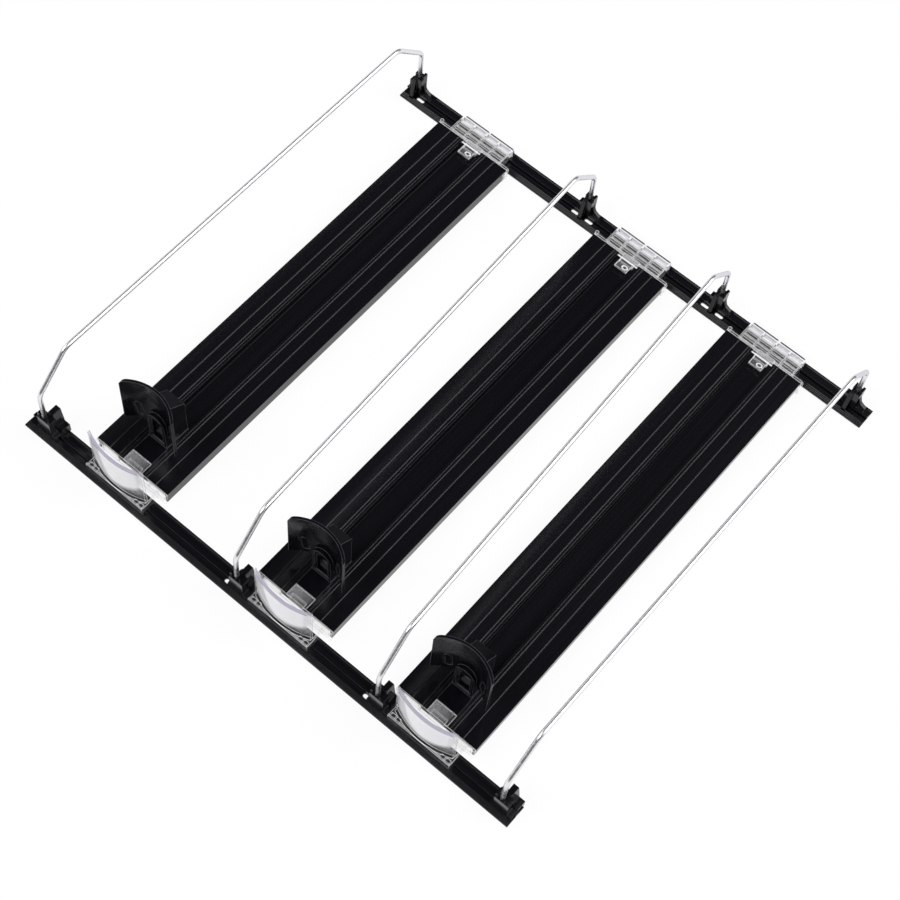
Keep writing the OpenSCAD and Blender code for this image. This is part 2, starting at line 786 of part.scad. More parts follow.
// A front clip, about its divider's post: a base that slides on the rail, a body with the socket, a
// horn on the left, and a tower behind it on the right that slopes down to a wing.
module front_clip(i) {
    near = saddle_y0 - front_post_y;
    far = rail_depth - front_post_y;
    body_y1 = far - tower_l;
    placed() translate([front_post_x[i - 1], front_post_y, 0]) color(plastic_black) difference() {
        union() {
            translate([-clip_left, 0, 0]) along_x(clip_left + clip_right) difference() {
                union() {
                    translate([near, saddle_z]) square([far - near, clip_base_z - saddle_z]);
                    translate([near, clip_roof_z]) square([far + run_gap + hook_t - near, clip_roof_t]);
                    translate([far + run_gap, foot_gap]) square([hook_t, clip_roof_z]);
                }
                translate([-front_post_y, 0]) rib_space();
            }
            box(-body_half_w, body_half_w + horn_w, near, body_y1, clip_base_z, socket_top_z);
            box(-body_half_w, horn_w - body_half_w, near + hook_t, body_y1, socket_top_z, prong_top_z);
            along_y(body_y1, far + run_gap + hook_t) polygon([
                [-horn_w / 4, clip_roof_z],
                [-horn_w / 4, prong_top_z - horn_w],
                [tower_half_w, prong_top_z - horn_w],
                [tower_half_w + horn_w, clip_base_z + wing_h],
                [clip_right, clip_base_z + wing_h],
                [clip_right, clip_roof_z]
            ]);
        }
        socket();
    }
}

// A rear clip, about its divider's post: a base behind the rail's slots, a tower with two prongs that
// grip the wire, a shoulder on its left, and a slanting foot before it.
module rear_clip(i) {
    near = rail_pitch + rib_front - rear_post_y;
    behind_rib = rail_pitch + stem_y + stem_t / 2 + run_gap - rear_post_y;
    rib_top = rail_h + run_gap;
    far = rail_pitch + rail_depth - foot_l - rear_post_y;
    tower_near = near - prong_w / 2;
    tower_far = tower_half_w + prong_w / 4;
    tower_top = prong_top_z - 1.5 * prong_w;
    tower_low = clip_base_z - clip_roof_t;
    prong_x = wire_r + socket_gap + prong_w / 2;
    placed() translate([rear_post_x[i - 1], rear_post_y, 0]) color(plastic_black) difference() {
        union() {
            translate([-rear_clip_left, 0, 0]) along_x(rear_clip_left + clip_right) difference() {
                union() {
                    translate([near, rib_top]) square([far - near, clip_base_z - rib_top]);
                    translate([behind_rib, saddle_z]) square([far - behind_rib, clip_base_z - saddle_z]);
                }
                translate([rail_pitch - rear_post_y, 0]) rib_space();
            }
            box(-tower_half_w, tower_half_w, tower_near, tower_far, tower_low, tower_top);
            box(-tower_half_w - shoulder_w, -tower_half_w, tower_near, wire_r, tower_low, shoulder_z);
            for (side = [-1, 1]) {
                translate([side * prong_x, tower_far - prong_l / 2, 0])
                    box(-prong_w / 2, prong_w / 2, -prong_l / 2, prong_l / 2, tower_top - 1, prong_top_z);
            }
            translate([-tower_half_w, 0, 0]) along_x(foot_w) polygon([
                [tower_near - foot_l, saddle_z],
                [tower_near, saddle_z],
                [tower_near, tower_top - 1],
                [tower_near - 1, tower_top - 1]
            ]);
            along_y(0, far) polygon([
                [tower_half_w - 1, tower_low],
                [tower_half_w - 1, shoulder_z],
                [tower_half_w, shoulder_z],
                [tower_half_w + prong_w, clip_base_z + 2 * wing_h],
                [clip_right, clip_base_z + wing_h / 2],
                [clip_right, tower_low]
            ]);
        }
        socket();
    }
}

rail_front();
rail_rear();
track(1);  // track_1
track(2);  // track_2
track(3);  // track_3
front_stop(1);  // front_stop_1
front_stop(2);  // front_stop_2
front_stop(3);  // front_stop_3
rear_connector(1);  // rear_connector_1
rear_connector(2);  // rear_connector_2
rear_connector(3);  // rear_connector_3
pusher(1);  // pusher_1
pusher(2);  // pusher_2
pusher(3);  // pusher_3
spring_coil(1);  // spring_coil_1
spring_coil(2);  // spring_coil_2
spring_coil(3);  // spring_coil_3
coil_drum(1);  // coil_drum_1
coil_drum(2);  // coil_drum_2
coil_drum(3);  // coil_drum_3
spring_band(1);  // spring_band_1
spring_band(2);  // spring_band_2
spring_band(3);  // spring_band_3
divider_wire(1);  // divider_wire_1
divider_wire(2);  // divider_wire_2
divider_wire(3);  // divider_wire_3
divider_wire(4);  // divider_wire_4
front_clip(1);  // front_clip_1
front_clip(2);  // front_clip_2
front_clip(3);  // front_clip_3
front_clip(4);  // front_clip_4
rear_clip(1);  // rear_clip_1
rear_clip(2);  // rear_clip_2
rear_clip(3);  // rear_clip_3
rear_clip(4);  // rear_clip_4
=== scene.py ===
import math

import bpy
from mathutils import Matrix, Vector

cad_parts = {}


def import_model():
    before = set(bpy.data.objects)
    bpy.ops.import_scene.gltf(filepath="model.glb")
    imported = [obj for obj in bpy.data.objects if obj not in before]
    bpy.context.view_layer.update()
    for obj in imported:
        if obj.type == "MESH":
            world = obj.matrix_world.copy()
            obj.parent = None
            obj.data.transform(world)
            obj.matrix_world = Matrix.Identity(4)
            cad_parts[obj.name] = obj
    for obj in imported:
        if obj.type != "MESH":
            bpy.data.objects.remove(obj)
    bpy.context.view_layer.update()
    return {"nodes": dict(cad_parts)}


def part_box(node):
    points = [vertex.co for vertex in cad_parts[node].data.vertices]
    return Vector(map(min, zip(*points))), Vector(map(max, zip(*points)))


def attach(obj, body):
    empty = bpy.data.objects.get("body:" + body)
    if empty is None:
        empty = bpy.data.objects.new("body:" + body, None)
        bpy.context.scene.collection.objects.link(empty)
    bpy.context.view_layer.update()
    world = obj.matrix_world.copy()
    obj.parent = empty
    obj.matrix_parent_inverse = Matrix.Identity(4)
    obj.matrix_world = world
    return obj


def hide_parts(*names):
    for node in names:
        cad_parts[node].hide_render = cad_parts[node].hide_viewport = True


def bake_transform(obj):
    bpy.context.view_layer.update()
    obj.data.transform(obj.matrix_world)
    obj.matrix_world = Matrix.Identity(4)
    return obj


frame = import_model()
scene = bpy.context.scene
nodes = frame["nodes"]

# All lengths are in metres, in the part's own frame.

# Camera, as found from the photograph: its place, its axes and its lens
CAMERA_PLACE = (0.362285, -0.554558, 1.223976)
CAMERA_RIGHT = (0.763308, 0.643105, 0.061467)
CAMERA_UP = (-0.594332, 0.661737, 0.457028)
CAMERA_BACK = (0.253242, -0.385385, 0.887326)
LENS_MM = 77.245
SENSOR_MM = 36.0
CAMERA_NEAR = 0.05
CAMERA_FAR = 50.0

# The suns: the direction, the strength and the spread in degrees
KEY_TOWARDS = (0.6, 0.385, 0.7)
SUNS = (
    ("key", KEY_TOWARDS, 1.5, 40),
    ("fill", (-0.75, -0.35, 0.55), 0.5, 60),
    ("front", (-0.253, -0.55, 0.79), 1.3, 36),
)

# The studio's soft panels: the direction, the strength, and the degrees where each starts and is
# full
PANELS = (
    (KEY_TOWARDS, 1.1, 44, 34),
    ((-0.8, 0.3, 0.3), 0.6, 40, 28),
)

# The studio's light from the horizon to the ceiling, and the height where the ceiling's begins
HORIZON_LIGHT = 0.22
CEILING_LIGHT = 0.04
CEILING_FROM = 0.7

# The floor: its half width, how far it lies under the part, and how much of it is its own white
FLOOR_HALF = 6.0
FLOOR_DROP = 0.0004
FLOOR_WHITE = 0.92

# The near-black plastic's darkest and lightest tones, and the lighter tones of the painted
# highlight on its edges
BLACK = (0.0035, 0.0035, 0.005), (0.006, 0.006, 0.0085)
PAINTED_EDGE_HIGHLIGHT = (0.08, 0.08, 0.09), (0.17, 0.17, 0.19)

# The pusher's gloss: the shares of the normal along the lane where it starts and is full, the
# shares upwards where it fades and is gone, and the specular levels of glossy and of dull faces
GLOSS_ALONG = 0.45, 0.6
DULL_ABOVE = 0.3, 0.5
GLOSSY_TO_DULL = 0.5, 0.02

# The part of the noise's range that the grain uses
GRAIN_RANGE = 0.3, 0.7

# The clear plastic's tones, and the painted light of its edges: a white painted highlight low down
# and a violet-grey painted shade higher up
CLEAR = (0.92, 0.92, 0.97), (0.98, 0.98, 1.0)
RIM_HIGHLIGHT_AND_SHADE = (1.0, 1.0, 1.0), (0.45, 0.42, 0.52)
CLEAR_IOR = 1.49

# How much the clear plastic covers what is behind it: from plain faces to the milky middle, in the
# rest of the wall, towards the back, in the white strip, at its edges, and anywhere by its cloud
MILKY_COVER = 0.014, 0.94
WALL_COVER = 0.2
BACK_COVER = 0.05
STRIP_COVER = 0.9
EDGE_COVER = 0.92
CLOUD_COVER = 0.008, 0.016

# How much an edge shows where it lies between the foot and the roof
FAINT_EDGE = 0.12

# Heights where the clear parts change: the foot's edges fade out, the roof's edges fade in, the
# wall starts, its milky middle starts, and its rim of violet-grey painted shade starts
FOOT_EDGES = 0.0008, 0.0018
ROOF_EDGES = 0.0050, 0.0065
WALL = 0.014, 0.018
MILKY = 0.013, 0.021
RIM = 0.0478, 0.0484

# Half the width of the stop's wall, how much higher its milky middle starts at the sides, and where
# on the way to the sides, squared, the middle thins out, and to what share
WALL_HALF = 0.025
MILKY_LIFT = 0.012
MILKY_THINS = 0.62, 0.95
MILKY_SIDES = 0.25

# The connector's lip behind the rear rail, which is hardly seen, and the white strip before it
FAR_LIP = 0.2036, 0.2041
WHITE_STRIP = 0.2000, 0.2003

# The painted glint on the stop's tongue, a whiter patch that stands for a highlight: from the
# tongue's far end and from the lane's middle, and how much it covers at its left and its right
GLINT_NEAR = -0.0102, -0.0098
GLINT_FAR = 0.0, 0.001
GLINT_ACROSS = -0.008, 0.009
GLINT_COVER = 0.24, 0.02

# The connector's slanted webs: how far its far wall stands behind the rail, the webs' height, their
# corners from the rail's far edge and up, and their reach from the lane's middle
WEB_BEHIND_RAIL = 0.0014
WEB_TOP = 0.0092
WEB_FOOT = 0.0022
WEB_SECTION = (
    (-0.0039, WEB_TOP),
    (-0.0023, WEB_TOP),
    (0.0002, WEB_FOOT),
    (-0.0014, WEB_FOOT),
)
WEB_SIDES = (
    ("left", -0.0226, -0.0005),
    ("right", 0.0019, 0.0240),
)

# The oval ring on the connector's tongue: its place from the lane's middle and the tongue's end,
# its height, its half length and width, its thickness as a share of those, its rise, and the points
# around the oval and across the ring
BUTTON_X = 0.0022
BUTTON_Y = 0.0026
TONGUE_TOP = 0.0120
BUTTON_HALF_X = 0.0022
BUTTON_HALF_Y = 0.0015
BUTTON_THICK = 0.32
BUTTON_RISE = 0.0005
BUTTON_AROUND = 28
BUTTON_ACROSS = 8

# The divider wires: their radius, the height and run of the slanting stretch, the bends' radius,
# the points round the wire, those along each bend, and how far inside the solid's radius they lie
WIRE_RADIUS = 0.0018
WIRE_BEND_Z = 0.052
WIRE_RUN = 0.0293
WIRE_TURN = 0.011
WIRE_SIDES = 24
WIRE_STEPS = 12
WIRE_INSIDE = 0.999

# Each wire, and the side to which its rear post stands off: 1 for right, -1 for left, 0 for neither
WIRES = ("1", 0), ("2", -1), ("3", -1), ("4", 1)

# The spring strips: the points along one, those across it, and its bow as a share of its height
STRIP_STEPS = 40
STRIP_ACROSS = (-1.0, -0.5, 0.0, 0.5, 1.0)
STRIP_BOW = 0.1

LANES = ("1", "2", "3")


# Shader helpers


def new_material(name):
    """An empty node material, its tree and its output node."""
    material = bpy.data.materials.new(name)
    material.use_nodes = True
    tree = material.node_tree
    tree.nodes.clear()
    return material, tree, tree.nodes.new("ShaderNodeOutputMaterial")


def add(tree, kind, **values):
    """A node of that kind, with its sockets and settings by name."""
    node = tree.nodes.new(kind)
    for key, value in values.items():
        if key in node.inputs:
            node.inputs[key].default_value = value
        else:
            setattr(node, key, value)
    return node


def link(tree, source, target):
    tree.links.new(source, target)


def stretched_noise(tree, scale, stretch):
    """A noise in the object's own place, stretched by a factor along each axis."""
    place = add(tree, "ShaderNodeTexCoord")
    mapping = add(tree, "ShaderNodeMapping", Scale=stretch)
    noise = add(tree, "ShaderNodeTexNoise", Scale=scale, Detail=3.0)
    link(tree, place.outputs["Object"], mapping.inputs["Vector"])
    link(tree, mapping.outputs["Vector"], noise.inputs["Vector"])
    return noise.outputs["Fac"]


def ramp(tree, source, low, high, start=0.0, end=1.0):
    """A value mapped from start..end to low..high, and held there."""
    node = add(tree, "ShaderNodeMapRange")
    node.inputs["From Min"].default_value = start
    node.inputs["From Max"].default_value = end
    node.inputs["To Min"].default_value = low
    node.inputs["To Max"].default_value = high
    link(tree, source, node.inputs["Value"])
    return node.outputs["Result"]


def combined(tree, operation, first, *others):
    """Values added, subtracted, multiplied or compared, one after the other."""
    for other in others:
        node = add(tree, "ShaderNodeMath", operation=operation)
        link(tree, first, node.inputs[0])
        link(tree, other, node.inputs[1])
        first = node.outputs["Value"]
    return first


def mixed(tree, factor, first, second):
    """Two colours mixed by a value. Each is plain numbers or what a node gives."""
    node = add(tree, "ShaderNodeMix", data_type="RGBA")
    targets = [socket for socket in node.inputs if socket.type == "RGBA"]
    for target, colour in zip(targets, (first, second)):
        if isinstance(colour, tuple):
            target.default_value = (*colour, 1.0)
        else:
            link(tree, colour, target)
    link(tree, factor, node.inputs["Factor"])
    return next(socket for socket in node.outputs if socket.type == "RGBA")


def axes_of(tree, source):
    """The three parts of a place or direction, by name."""
    split = add(tree, "ShaderNodeSeparateXYZ")
    link(tree, source, split.inputs["Vector"])
    return split.outputs


def edge_share(tree, radius, samples, start, end):
    """0 on a flat face and 1 at an edge, from a rounded normal set against the true one."""
    rounded = add(tree, "ShaderNodeBevel", samples=samples, Radius=radius)
    true = add(tree, "ShaderNodeNewGeometry")
    dot = add(tree, "ShaderNodeVectorMath", operation="DOT_PRODUCT")
    link(tree, rounded.outputs["Normal"], dot.inputs[0])
    link(tree, true.outputs["Normal"], dot.inputs[1])
    return ramp(tree, dot.outputs["Value"], 1.0, 0.0, start, end)


# Materials


def black_plastic(
    name, stretch, scale, rough, tones, relief, round_mm, ior=1.4, dull_sides=False
):
    """A glossy near-black plastic with a faint grain along the piece and slightly rounded edges.

    With dull_sides, its top and its left and right are dull, and its edges are lighter in colour, a
    painted highlight.
    """
    material, tree, output = new_material(name)
    grain = stretched_noise(tree, scale, stretch)
    shader = add(tree, "ShaderNodeBsdfPrincipled", IOR=ior)
    edge = add(tree, "ShaderNodeBevel", samples=6, Radius=round_mm / 1000)
    bump = add(tree, "ShaderNodeBump", Strength=relief, Distance=0.0002)
    link(tree, grain, bump.inputs["Height"])
    link(tree, edge.outputs["Normal"], bump.inputs["Normal"])
    colour = mixed(tree, grain, *tones)
    if dull_sides:
        true = add(tree, "ShaderNodeNewGeometry")
        facing = axes_of(tree, true.outputs["Normal"])
        along = add(tree, "ShaderNodeMath", operation="ABSOLUTE")
        link(tree, facing["Y"], along.inputs[0])
        aside = ramp(tree, along.outputs["Value"], 1.0, 0.0, *GLOSS_ALONG)
        above = ramp(tree, facing["Z"], 0.0, 1.0, *DULL_ABOVE)
        dull = combined(tree, "MAXIMUM", aside, above)
        link(tree, ramp(tree, dull, *GLOSSY_TO_DULL), shader.inputs["Specular IOR Level"])
        # Painted highlight: the edges' colour is lightened, as if they caught the light
        highlight_at_edge = edge_share(tree, 0.0006, 6, 0.88, 0.985)
        colour = mixed(tree, highlight_at_edge, colour, mixed(tree, grain, *PAINTED_EDGE_HIGHLIGHT))
    link(tree, colour, shader.inputs["Base Color"])
    link(tree, ramp(tree, grain, *rough, *GRAIN_RANGE), shader.inputs["Roughness"])
    link(tree, bump.outputs["Normal"], shader.inputs["Normal"])
    link(tree, shader.outputs["BSDF"], output.inputs["Surface"])
    return material


def clear_plastic(name, lane_x, tongue_y):
    """A clear moulded plastic that shows at its edges, in a painted highlight and painted shade, in
    its milky middle, in a white strip, and in a painted glint on its tongue.
    """
    material, tree, output = new_material(name)
    cloud = stretched_noise(tree, 60.0, (1, 1, 1))
    place = add(tree, "ShaderNodeTexCoord")
    x, y, z = axes_of(tree, place.outputs["Object"])

    # The wall's milky middle, and its top rim, which takes a violet-grey painted shade
    aside = ramp(tree, x, -1.0, 1.0, lane_x - WALL_HALF, lane_x + WALL_HALF)
    aside_squared = combined(tree, "MULTIPLY", aside, aside)
    lowered = combined(tree, "SUBTRACT", z, ramp(tree, aside_squared, 0.0, MILKY_LIFT))
    milky = combined(
        tree,
        "MULTIPLY",
        ramp(tree, lowered, 0.0, 1.0, *MILKY),
        ramp(tree, aside_squared, 1.0, MILKY_SIDES, *MILKY_THINS),
    )
    wall = ramp(tree, z, 0.0, 1.0, *WALL)
    top = ramp(tree, z, 0.0, 1.0, *RIM)

    # The edges, which show at the foot and from the roof up, white as a painted highlight below the
    # wall and violet-grey as a painted shade in it
    sharp = edge_share(tree, 0.0007, 8, 0.95, 0.99)
    at_foot = ramp(tree, z, 1.0, FAINT_EDGE, *FOOT_EDGES)
    at_roof = ramp(tree, z, FAINT_EDGE, 1.0, *ROOF_EDGES)
    edge = combined(tree, "MULTIPLY", sharp, combined(tree, "MAXIMUM", at_foot, at_roof))

    # The painted glint on the stop's tongue, a patch of painted highlight
    glint = combined(
        tree,
        "MULTIPLY",
        ramp(tree, y, 0.0, 1.0, *(tongue_y + far for far in GLINT_NEAR)),
        ramp(tree, y, 1.0, 0.0, *(tongue_y + far for far in GLINT_FAR)),
        ramp(tree, x, *GLINT_COVER, *(lane_x + far for far in GLINT_ACROSS)),
    )

    # How much each of these covers what is behind the plastic
    faces = combined(
        tree,
        "MAXIMUM",
        ramp(tree, milky, *MILKY_COVER),
        ramp(tree, wall, 0.0, WALL_COVER),
        ramp(tree, y, 0.0, BACK_COVER, 0.0, 0.1),
        glint,
        ramp(tree, ramp(tree, y, 0.0, 1.0, *WHITE_STRIP), 0.0, STRIP_COVER),
        ramp(tree, edge, 0.0, EDGE_COVER),
    )
    before_lip = ramp(tree, y, 1.0, 0.0, *FAR_LIP)
    opacity = combined(tree, "MULTIPLY", faces, before_lip)
    opacity = combined(tree, "MAXIMUM", opacity, ramp(tree, cloud, *CLOUD_COVER))

    # Painted light: the edges and the top rim are coloured white as a painted highlight below the
    # wall and violet-grey as a painted shade above
    painted_rim = combined(tree, "MAXIMUM", edge, top)
    body = mixed(tree, cloud, *CLEAR)
    colour = mixed(tree, painted_rim, body, mixed(tree, wall, *RIM_HIGHLIGHT_AND_SHADE))
    shader = add(tree, "ShaderNodeBsdfPrincipled", IOR=CLEAR_IOR)
    link(tree, colour, shader.inputs["Base Color"])
    link(tree, ramp(tree, cloud, 0.05, 0.12), shader.inputs["Roughness"])
    link(tree, opacity, shader.inputs["Alpha"])
    link(tree, shader.outputs["BSDF"], output.inputs["Surface"])
    return material


def rim_plastic(name):
    """Clear plastic where it is all rim, coloured white as a painted highlight."""
    material, tree, output = new_material(name)
    cloud = stretched_noise(tree, 200.0, (1, 1, 1))
    shader = add(tree, "ShaderNodeBsdfPrincipled", Roughness=0.1, IOR=CLEAR_IOR)
    tone = mixed(tree, cloud, (0.85, 0.85, 0.92), (1.0, 1.0, 1.0))
    link(tree, tone, shader.inputs["Base Color"])
    link(tree, ramp(tree, cloud, 0.75, 0.95), shader.inputs["Alpha"])
    link(tree, shader.outputs["BSDF"], output.inputs["Surface"])
    return material


def metal(name, tones, rough, stretch, scale, relief):
    """A metal with a fine grain."""
    material, tree, output = new_material(name)
    grain = stretched_noise(tree, scale, stretch)
    shader = add(tree, "ShaderNodeBsdfPrincipled", Metallic=1.0)
    shader.inputs["Specular Tint"].default_value = (0.75, 0.75, 0.8, 1.0)
    bump = add(tree, "ShaderNodeBump", Strength=relief, Distance=0.0001)
    link(tree, grain, bump.inputs["Height"])
    link(tree, mixed(tree, grain, *tones), shader.inputs["Base Color"])
    link(tree, ramp(tree, grain, *rough, *GRAIN_RANGE), shader.inputs["Roughness"])
    link(tree, bump.outputs["Normal"], shader.inputs["Normal"])
    link(tree, shader.outputs["BSDF"], output.inputs["Surface"])
    return material


def lane_middle(lane):
    """The place along the rails of a lane's middle line."""
    track_low, track_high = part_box(f"track_{lane}")
    return (track_low.x + track_high.x) / 2


EXTRUDED_ROUGH = (0.12, 0.2)
MOULDED_ROUGH = (0.1, 0.16)
track_black = black_plastic("track_black", (900, 6, 900), 1.0, EXTRUDED_ROUGH, BLACK, 0.02, 0.15)
rail_black = black_plastic("rail_black", (6, 900, 900), 1.0, EXTRUDED_ROUGH, BLACK, 0.02, 0.25)
moulded_black = black_plastic(
    "moulded_black", (1, 1, 1), 90.0, MOULDED_ROUGH, BLACK, 0.03, 0.7, ior=1.33
)
pusher_black = black_plastic(
    "pusher_black", (1, 1, 1), 90.0, MOULDED_ROUGH, BLACK, 0.03, 0.7, ior=1.45, dull_sides=True
)
# Painted highlight: white clear plastic for the connector's tongue ring
painted_highlight_white = rim_plastic("clear_rim")
clear = {}
for lane in LANES:
    stop_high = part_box(f"front_stop_{lane}")[1]
    clear[lane] = clear_plastic(f"clear_plastic_{lane}", lane_middle(lane), stop_high.y)
# Painted shade: a near-black for the connector's clear webs, which look dark seen edge-on
painted_dark_clear = black_plastic(
    "clear_painted_dark_edge_on",
    (1, 1, 1),
    200.0,
    (0.1, 0.2),
    ((0.006, 0.006, 0.012), (0.02, 0.02, 0.03)),
    0.02,
    0.1,
)
CHROME = (0.8, 0.81, 0.83), (0.9, 0.91, 0.92)
STRIP_STEEL = (0.12, 0.12, 0.14), (0.2, 0.2, 0.22)
ROLLED_STEEL = (0.025, 0.025, 0.03), (0.05, 0.05, 0.055)
chrome = metal("wire_chrome", CHROME, (0.24, 0.34), (1, 1, 1), 300.0, 0.05)
spring = metal("spring_steel", STRIP_STEEL, (0.22, 0.34), (900, 20, 900), 1.0, 0.2)
rolled = metal("rolled_steel", ROLLED_STEEL, (0.25, 0.4), (20, 900, 900), 1.0, 0.2)

# The look and the slot of each node, by the start of its name
LOOKS = (
    ("rail_", rail_black, "black_plastic"),
    ("track_", track_black, "black_plastic"),
    *((f"front_stop_{lane}", clear[lane], "clear_plastic") for lane in LANES),
    *((f"rear_connector_{lane}", clear[lane], "clear_plastic") for lane in LANES),
    ("pusher_", pusher_black, "black_plastic"),
    ("coil_drum_", moulded_black, "black_plastic"),
    ("front_clip_", moulded_black, "black_plastic"),
    ("rear_clip_", moulded_black, "black_plastic"),
    ("spring_coil_", rolled, "spring_steel"),
    ("spring_band_", spring, "spring_steel"),
    ("divider_wire_", chrome, "wire_chrome"),
)
for node_name, node in nodes.items():
    look, slot_name = next((m, s) for start, m, s in LOOKS if node_name.startswith(start))
    node.data.materials.clear()
    node.data.materials.append(look)


# Mesh helpers


def mesh_object(name, verts, faces, material):
    """A new object with one mesh and one material."""
    mesh = bpy.data.meshes.new(name)
    mesh.from_pydata(verts, [], faces)
    mesh.validate()
    mesh.materials.append(material)
    made = bpy.data.objects.new(name, mesh)
    scene.collection.objects.link(made)
    return made


def mesh_piece(name, verts, faces, material, body):
    """A new piece that rides on a body, with one material."""
    piece = mesh_object(name, verts, faces, material)
    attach(piece, body)
    return piece


def tube_faces(rings, sides):
    """The faces of a closed tube: its sides, and a cap at each end."""
    faces = []
    for r in range(rings - 1):
        for k in range(sides):
            a, b = r * sides + k, r * sides + (k + 1) % sides
            faces.append((a, b, b + sides, a + sides))
    faces.append(tuple(reversed(range(sides))))
    faces.append(tuple((rings - 1) * sides + k for k in range(sides)))
    return faces


# Spring strips


def spring_strip(i):
    """The flat steel strip from the stop's tongue to the roll, as it lies at rest; the real strip
    grows as the pusher slides.
    """
    low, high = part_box(f"spring_band_{i}")
    middle_x = (low.x + high.x) / 2
    half_x = (high.x - low.x) / 2
    bow = STRIP_BOW * (high.z - low.z)
    verts = []
    for k in range(STRIP_STEPS + 1):
        y = low.y + (high.y - low.y) * k / STRIP_STEPS
        for u in STRIP_ACROSS:
            verts.append((middle_x + u * half_x, y, high.z - bow * (1 - u * u)))
        for u in reversed(STRIP_ACROSS):
            verts.append((middle_x + u * half_x, y, low.z + bow * u * u))
    faces = tube_faces(STRIP_STEPS + 1, 2 * len(STRIP_ACROSS))
    strip = mesh_object(f"spring_strip_{i}", verts, faces, spring)
    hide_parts(f"spring_band_{i}")
    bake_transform(strip)


for lane in LANES:
    spring_strip(lane)


# Details of the rear connectors


def slanted_web(lane):
    """The slanted webs under the connector's roof, one on each side of its notch: the clear wall's
    shape, in a near-black that is painted shade, as the wall looks dark seen edge-on.
    """
    middle = lane_middle(lane)
    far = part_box(f"rear_connector_{lane}")[1].y - WEB_BEHIND_RAIL
    sides = [(k, k + 4, (k + 1) % 4 + 4, (k + 1) % 4) for k in range(4)]
    faces = [(0, 1, 2, 3), (7, 6, 5, 4)] + sides
    for side, near_x, far_x in WEB_SIDES:
        verts = [(middle + x, far + y, z) for x in (near_x, far_x) for y, z in WEB_SECTION]
        name = f"connector_web_{side}_{lane}"
        mesh_piece(name, verts, faces, painted_dark_clear, f"lane_{lane}")


def tongue_button(lane):
    """The small raised oval ring near the end of the connector's tongue."""
    x = lane_middle(lane) + BUTTON_X
    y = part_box(f"rear_connector_{lane}")[0].y + BUTTON_Y
    verts, faces = [], []
    for k in range(BUTTON_AROUND):
        turn = 2 * math.pi * k / BUTTON_AROUND
        this, following = k * BUTTON_ACROSS, (k + 1) % BUTTON_AROUND * BUTTON_ACROSS
        for j in range(BUTTON_ACROSS):
            tilt = 2 * math.pi * j / BUTTON_ACROSS
            out = 1 + BUTTON_THICK * math.cos(tilt)
            verts.append((
                x + BUTTON_HALF_X * out * math.cos(turn),
                y + BUTTON_HALF_Y * out * math.sin(turn),
                TONGUE_TOP + BUTTON_RISE * math.sin(tilt),
            ))
            above = (j + 1) % BUTTON_ACROSS
            faces.append((this + j, following + j, following + above, this + above))
    name = f"tongue_button_{lane}"
    piece = mesh_piece(name, verts, faces, painted_highlight_white, f"lane_{lane}")
    for face in piece.data.polygons:
        face.use_smooth = True


for lane in LANES:
    slanted_web(lane)
    tongue_button(lane)


# Divider wires


def rounded_line(corners, radius, steps):
    """Points and directions along a line through those corners, with each inner corner rounded."""
    line = [(corners[0], (corners[1] - corners[0]).normalized())]
    for before, corner, after in zip(corners, corners[1:], corners[2:]):
        arrive, leave = (corner - before).normalized(), (after - corner).normalized()
        turn = arrive.angle(leave)
        start = corner - arrive * radius * math.tan(turn / 2)
        inward = (leave - arrive * arrive.dot(leave)).normalized()
        for k in range(steps + 1):
            a = turn * k / steps
            point = start + arrive * radius * math.sin(a) + inward * radius * (1 - math.cos(a))
            line.append((point, arrive * math.cos(a) + inward * math.sin(a)))
    line.append((corners[-1], (corners[-1] - corners[-2]).normalized()))
    return line


def smooth_wire(number, rear_side):
    """The divider's round wire with smooth bends, from its front post to its rear one."""
    name = f"divider_wire_{number}"
    low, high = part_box(name)
    middle_x = (low.x + high.x) / 2
    aside = rear_side * ((high.x - low.x) / 2 - WIRE_RADIUS)
    front = Vector((middle_x - aside, low.y + WIRE_RADIUS, 0.0))
    rear = Vector((middle_x + aside, high.y - WIRE_RADIUS, 0.0))
    along = (rear - front).normalized()
    up = Vector((0.0, 0.0, 1.0))
    across = along.cross(up)
    top_z = high.z - WIRE_RADIUS
    corners = [
        front + up * low.z,
        front + up * WIRE_BEND_Z,
        front + along * WIRE_RUN + up * top_z,
        rear - along * WIRE_RUN + up * top_z,
        rear + up * WIRE_BEND_Z,
        rear + up * low.z,
    ]
    verts = []
    for point, direction in rounded_line(corners, WIRE_TURN, WIRE_STEPS):
        outward = across.cross(direction)
        for k in range(WIRE_SIDES):
            a = 2 * math.pi * k / WIRE_SIDES
            reach = math.cos(a) * outward + math.sin(a) * across
            verts.append(point + WIRE_RADIUS * WIRE_INSIDE * reach)
    faces = tube_faces(len(verts) // WIRE_SIDES, WIRE_SIDES)
    piece = mesh_piece(
        f"smooth_wire_{number}", verts, faces, chrome, f"divider_{number}"
    )
    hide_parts(name)
    for face in piece.data.polygons:
        face.use_smooth = len(face.vertices) == 4


for wire, rear_side in WIRES:
    smooth_wire(wire, rear_side)


# Studio


def seen_directly(tree):
    """1 for what the camera, a reflection or clear plastic shows, and 0 for light on the object."""
    path = add(tree, "ShaderNodeLightPath")
    kinds = ("Is Camera Ray", "Is Glossy Ray", "Is Transmission Ray")
    return combined(tree, "MAXIMUM", *(path.outputs[kind] for kind in kinds))


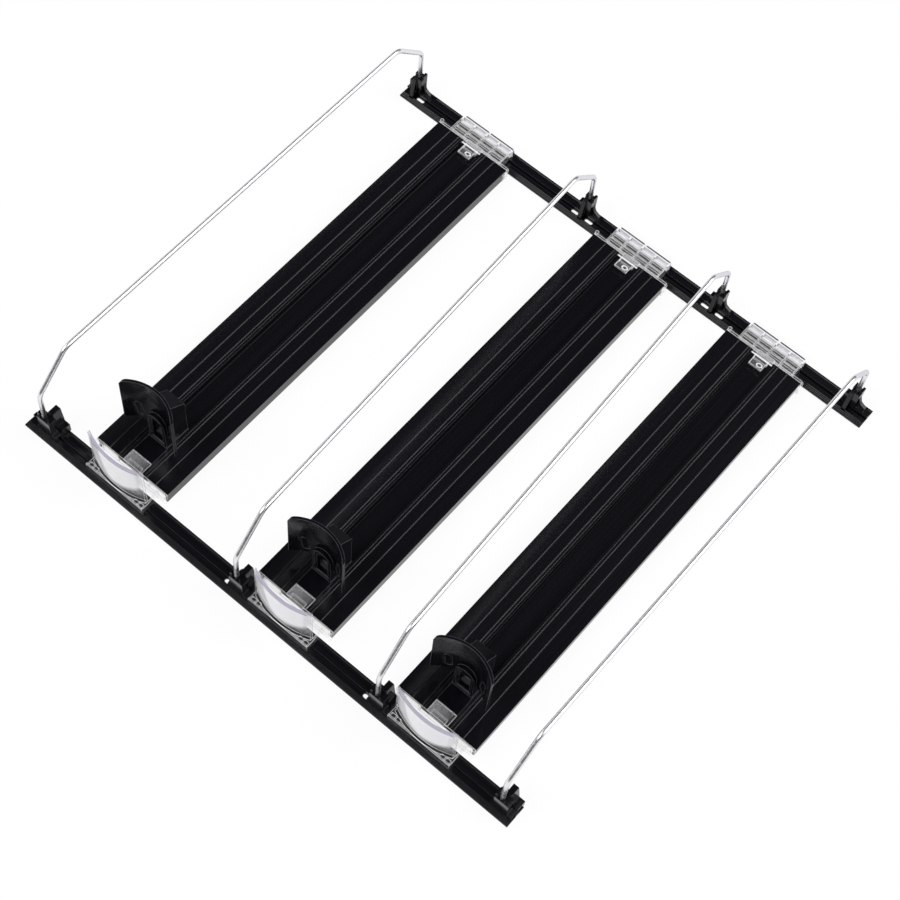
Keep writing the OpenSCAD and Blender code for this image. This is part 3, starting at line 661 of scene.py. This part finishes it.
def floor():
    """A floor that is mostly its own white where it is seen, with the object's faint shadow."""
    material, tree, output = new_material("floor_white")
    speck = stretched_noise(tree, 3.0, (1, 1, 1))
    shader = add(tree, "ShaderNodeBsdfPrincipled", Roughness=0.9)
    shader.inputs["Specular IOR Level"].default_value = 0.0
    tone = mixed(tree, speck, (0.9, 0.9, 0.9), (0.92, 0.92, 0.92))
    link(tree, tone, shader.inputs["Base Color"])
    white = add(tree, "ShaderNodeEmission", Strength=1.0)
    mix = add(tree, "ShaderNodeMixShader")
    link(tree, ramp(tree, seen_directly(tree), 0.0, FLOOR_WHITE), mix.inputs["Fac"])
    link(tree, shader.outputs["BSDF"], mix.inputs[1])
    link(tree, white.outputs["Emission"], mix.inputs[2])
    link(tree, mix.outputs["Shader"], output.inputs["Surface"])
    signs = ((-1, -1), (1, -1), (1, 1), (-1, 1))
    corners = [(x * FLOOR_HALF, y * FLOOR_HALF, 0) for x, y in signs]
    ground = mesh_object("floor", corners, [(0, 1, 2, 3)], material)
    ground.location.z = -FLOOR_DROP


def sun(name, towards, strength, spread_deg):
    """A soft distant light that comes from that direction."""
    data = bpy.data.lights.new(name, "SUN")
    data.energy = strength
    data.angle = math.radians(spread_deg)
    lamp = bpy.data.objects.new(name, data)
    scene.collection.objects.link(lamp)
    lamp.rotation_mode = "QUATERNION"
    lamp.rotation_quaternion = Vector(towards).to_track_quat("Z", "Y")


def world():
    """A studio with a soft panel high on the right, one low on the left, and a dark ceiling."""
    studio = bpy.data.worlds.new("studio")
    scene.world = studio
    studio.use_nodes = True
    tree = studio.node_tree
    tree.nodes.clear()
    output = tree.nodes.new("ShaderNodeOutputWorld")
    place = add(tree, "ShaderNodeTexCoord")
    height = axes_of(tree, place.outputs["Generated"])["Z"]
    total = ramp(tree, height, HORIZON_LIGHT, CEILING_LIGHT, 0.0, CEILING_FROM)
    for towards, strength, outer_deg, inner_deg in PANELS:
        facing = add(tree, "ShaderNodeVectorMath", operation="DOT_PRODUCT")
        facing.inputs[1].default_value = Vector(towards).normalized()
        link(tree, place.outputs["Generated"], facing.inputs[0])
        limits = (math.cos(math.radians(angle)) for angle in (outer_deg, inner_deg))
        panel = ramp(tree, facing.outputs["Value"], 0.0, strength, *limits)
        total = combined(tree, "ADD", total, panel)
    surround = add(tree, "ShaderNodeBackground")
    link(tree, total, surround.inputs["Strength"])
    link(tree, surround.outputs["Background"], output.inputs["Surface"])


def camera():
    """The photograph's camera."""
    data = bpy.data.cameras.new("camera")
    data.lens = LENS_MM
    data.sensor_width = SENSOR_MM
    data.clip_start = CAMERA_NEAR
    data.clip_end = CAMERA_FAR
    cam = bpy.data.objects.new("camera", data)
    scene.collection.objects.link(cam)
    axes = Matrix((CAMERA_RIGHT, CAMERA_UP, CAMERA_BACK)).transposed()
    cam.matrix_world = Matrix.Translation(CAMERA_PLACE) @ axes.to_4x4()
    scene.camera = cam


floor()
world()
camera()
for sun_name, towards, strength, spread_deg in SUNS:
    sun(sun_name, towards, strength, spread_deg)
scene.view_settings.view_transform = "Standard"
